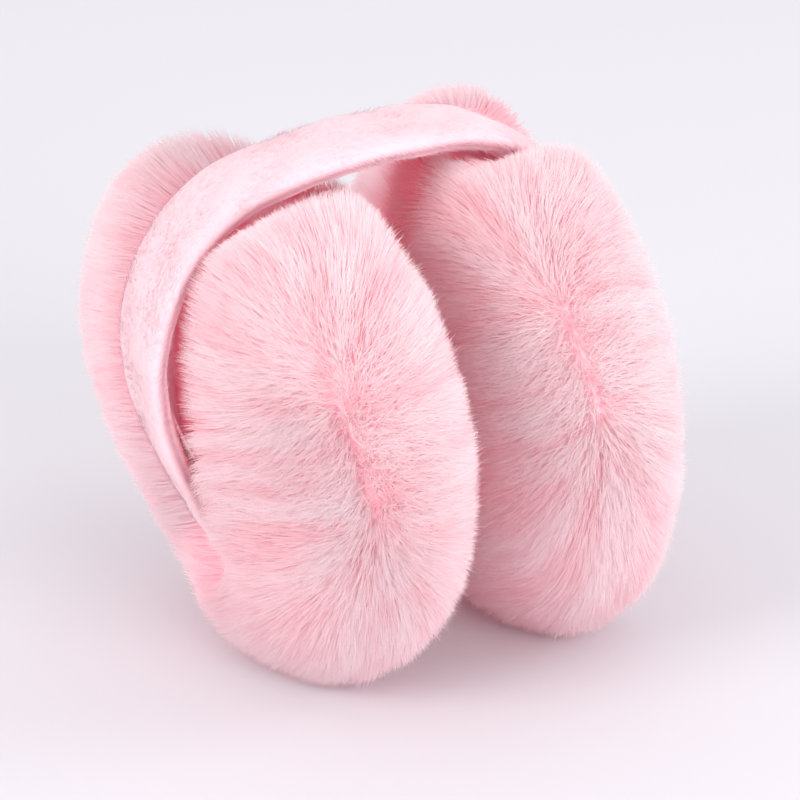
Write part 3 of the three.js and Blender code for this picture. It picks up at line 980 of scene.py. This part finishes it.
@dataclass
class Headband:
    """Padded plush sleeve over the arch, with its edge seams and its short nap.

    The nap's blades stand nap_sink deep in the sleeve, lift off it by nap_lift, and swing and wander
    from the band's length by nap_swing and nap_wander. They are shorter by seam_trim at the seams,
    which lie seam_drop under the middle of each edge.
    """

    arch: Arch
    sides: int = 40
    nap_length: float = 1.9 * MM
    nap_width: float = 0.16 * MM
    nap_count: int = 60000
    nap_sink: float = 0.15 * MM
    nap_lift: float = 0.4
    nap_swing: float = 0.3
    nap_wander: float = 0.18
    nap_reach: Span = (0.6, 1.1)
    seam_trim: float = 0.7
    uneven: float = 0.18 * MM
    seam_drop: float = 0.9 * MM
    seam_depth: float = 0.5 * MM
    seed: int = 7

    def seam(self) -> Array:
        """Closeness, 0 to 1, of each point of the section to the seams along both edges."""
        sine = np.sin(-2 * np.pi * (np.arange(self.sides) + 0.5) / self.sides)
        height = rounded(sine, self.arch.squareness) * self.arch.thickness / 2
        return np.clip(1 - np.abs(height + self.seam_drop) / self.seam_drop, 0, 1)

    def sleeve(self, finish: bpy.types.Material) -> bpy.types.Object:
        """Builds the sleeve: the swept section, uneven from its padding and drawn in at the seams."""
        points, out = self.arch.section(self.sides)
        stations = points.shape[0]
        flat = points.reshape(-1, 3)
        seam = np.tile(self.seam(), stations)
        uneven = Ripple(self.seed, 9, 22).value(flat) * self.uneven - seam * self.seam_depth
        flat = flat + out.reshape(-1, 3) * uneven[:, None]
        faces = grid_faces(stations, self.sides, closed=True)
        piece = make_mesh("headband_sleeve", flat, faces, finish, np.stack([0 * seam, seam], 1))
        rings = [np.arange(self.sides)[::-1], (stations - 1) * self.sides + np.arange(self.sides)]
        cap_ends(piece, rings)
        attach(piece, "root")
        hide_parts("headband")
        return piece

    def nap(self, finish: bpy.types.Material) -> bpy.types.Object:
        """Builds the nap: one short blade for each tuft, combed along the band and outwards."""
        draw = np.random.default_rng(self.seed)
        points, out = self.arch.section(self.sides)
        stations = points.shape[0]
        i = draw.uniform(0, stations - 1.001, self.nap_count * 2)
        j = draw.uniform(0, self.sides, self.nap_count * 2)
        i0, j0 = i.astype(int), j.astype(int) % self.sides
        fi, fj = (i - i0)[:, None], (j - np.floor(j))[:, None]
        j1 = (j0 + 1) % self.sides
        size = np.linalg.norm(points[i0 + 1, j0] - points[i0, j0], axis=1) * np.linalg.norm(
            points[i0, j1] - points[i0, j0], axis=1)
        keep = draw.uniform(size=len(i)) < size / np.quantile(size, 0.97)
        keep = np.flatnonzero(keep)[:self.nap_count]
        i0, j0, j1, fi, fj = i0[keep], j0[keep], j1[keep], fi[keep], fj[keep]

        def between(grid: Array) -> Array:
            """Reads a grid of the section between its points."""
            low = grid[i0, j0] * (1 - fi) + grid[i0 + 1, j0] * fi
            high = grid[i0, j1] * (1 - fi) + grid[i0 + 1, j1] * fi
            return low * (1 - fj) + high * fj

        root, face = between(points), unit(between(out))
        along = np.stack([self.arch.along[i0, 0], np.zeros(len(i0)), self.arch.along[i0, 1]], 1)
        beside = np.cross(face, along)
        angle = self.nap_swing * Ripple(self.seed + 1, 9, 24).value(root)[:, None]
        comb = along * np.cos(angle) + beside * np.sin(angle)
        lean = unit(comb + face * self.nap_lift + draw.normal(scale=self.nap_wander, size=root.shape))
        seam = self.seam()
        seam = seam[j0][:, None] * (1 - fj) + seam[j1][:, None] * fj
        length = self.nap_length * draw.uniform(*self.nap_reach, (len(root), 1))
        length = length * (1 - self.seam_trim * seam)
        tip = root + lean * length
        across = unit(np.cross(lean, face))
        half = across * self.nap_width / 2
        base = root - face * self.nap_sink
        tri = np.stack([base - half, base + half, tip], 1)
        faces = np.arange(len(root) * 3).reshape(-1, 3)
        uv = np.stack([np.broadcast_to([0.0, 0.0, 1.0], (len(root), 3)),
                       np.broadcast_to(seam, (len(root), 3))], -1).reshape(-1, 2)
        piece = make_mesh("headband_nap", tri.reshape(-1, 3), faces, finish, uv, np.repeat(face, 3, axis=0))
        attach(piece, "root")
        return piece


@dataclass
class Studio:
    """Pale floor, soft light from the upper left and the camera at the picture's angle."""

    azimuth: float = 29.84
    elevation: float = 22.81
    distance: float = 0.9
    focal_px: float = 3911.5
    frame_px: float = 800.0
    left_px: float = 9.7
    up_px: float = 13.3
    aim_x: float = 0.0
    aim_height: float = 60 * MM

    def camera(self) -> None:
        """Places the camera at azimuth and elevation round the aim; the shift frames the object."""
        a, e = math.radians(self.azimuth), math.radians(self.elevation)
        back = Vector((-math.sin(a) * math.cos(e), -math.cos(a) * math.cos(e), math.sin(e)))
        right = Vector((math.cos(a), -math.sin(a), 0))
        up = back.cross(right)
        data = bpy.data.cameras.new("camera")
        data.sensor_width = 36
        data.lens = self.focal_px / self.frame_px * data.sensor_width
        data.shift_x = self.left_px / self.frame_px
        data.shift_y = -self.up_px / self.frame_px
        data.clip_start = 0.01
        rig = bpy.data.objects.new("camera", data)
        turn = Matrix((right, up, back)).transposed().to_4x4()
        place = Vector((self.aim_x, 0, self.aim_height)) + back * self.distance
        rig.matrix_world = Matrix.Translation(place) @ turn
        bpy.context.scene.collection.objects.link(rig)
        bpy.context.scene.camera = rig

    def floor(self) -> None:
        """Lays a wide pale floor, as painted board."""
        half = 3.0
        corners = np.array([(-half, -half, 0), (half, -half, 0), (half, half, 0), (-half, half, 0)])
        board, tree = new_material("matt_white_board")
        surface = add_node(tree, "ShaderNodeBsdfPrincipled", inputs={
            "Base Color": srgb("DCDADF"), "Roughness": 0.8, "Specular IOR Level": 0.2})
        add_node(tree, "ShaderNodeOutputMaterial", inputs={"Surface": surface.outputs[0]})
        make_mesh("studio_floor", corners, np.array([(0, 1, 2, 3)]), board)

    def lamp(self, name: str, place: tuple[float, float, float], size: float, power: float,
             colour: str) -> None:
        """Adds a square soft box that faces the object: place and side in metres, power in watts."""
        data = bpy.data.lights.new(name, "AREA")
        data.size = size
        data.energy = power
        data.color = srgb(colour)[:3]
        rig = bpy.data.objects.new(name, data)
        target = Vector((0, 0, self.aim_height)) - Vector(place)
        rig.matrix_world = Matrix.Translation(place) @ target.to_track_quat("-Z", "Y").to_matrix().to_4x4()
        bpy.context.scene.collection.objects.link(rig)

    def light(self) -> None:
        """Sets an even white surround and three soft boxes."""
        world = bpy.data.worlds.new("studio_air")
        world.use_nodes = True
        background = world.node_tree.nodes["Background"]
        background.inputs["Color"].default_value = srgb("F9F8FB")
        background.inputs["Strength"].default_value = 0.93
        bpy.context.scene.world = world
        self.lamp("key_softbox", (-2.1, -0.35, 1.3), 1.1, 25.0, "FFFCFA")
        self.lamp("front_fill", (0.1, -2.0, 0.8), 1.2, 23.0, "FFFFFF")
        self.lamp("right_fill", (1.8, -0.9, 0.9), 1.0, 11.0, "FFFFFF")
        bpy.context.scene.view_settings.view_transform = "Standard"

    def build(self) -> None:
        """Sets up camera, floor and light."""
        self.camera()
        self.floor()
        self.light()


def main() -> None:
    """Builds the studio, both pads and the headband, and logs each piece."""
    logging.basicConfig(level=logging.INFO, format="%(name)s: %(message)s")
    shift = (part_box("left_pad")[1].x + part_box("right_pad")[0].x) / 2
    Studio(aim_x=shift).build()
    pile, core = PileFinish().build(), CoreFinish().build()
    # the same pile at the backs, painted paler and with a stronger painted glow, since the studio's
    # light reaches them less
    back_pile_painted_light = PileFinish("acrylic_faux_fur_back_pile", root="FFE6EB", middle="FFF2F5", tip="FFF6F8",
                           painted_glow_root="885A64", painted_glow_middle="684C53", painted_glow_tip="3A2E32").build()
    plush = PlushFinish("brushed_polyester_plush", "EFCCD3", "EDC8D0").build()
    nap = PlushFinish("polyester_plush_nap", "F3D5DB", "F1D1D8").build()
    arch = Arch(shift_x=shift)
    left = FurPad(Side.LEFT, arch, offset=30.6 * MM, lean=7.0, centre=61.4 * MM, seed=11, tuck=5.5 * MM,
                  whorl=(-0.29, -0.87, 0.40), parting=(-0.24, -0.97, -0.05))
    right = FurPad(Side.RIGHT, arch, offset=31.5 * MM, lean=6.0, centre=59.6 * MM, seed=23,
                   whorl=(-0.13, -0.82, 0.56), parting=(-0.07, -0.98, 0.19))
    pieces = left.build(pile, back_pile_painted_light, core) + right.build(pile, back_pile_painted_light, core)
    band = Headband(arch)
    pieces += [band.sleeve(plush), band.nap(nap)]
    for piece in pieces:
        log.info("%s: %d faces", piece.name, len(piece.data.polygons))
    log.info("faces in all: %d", sum(len(p.data.polygons) for p in pieces))


if __name__ == "__main__":
    main()
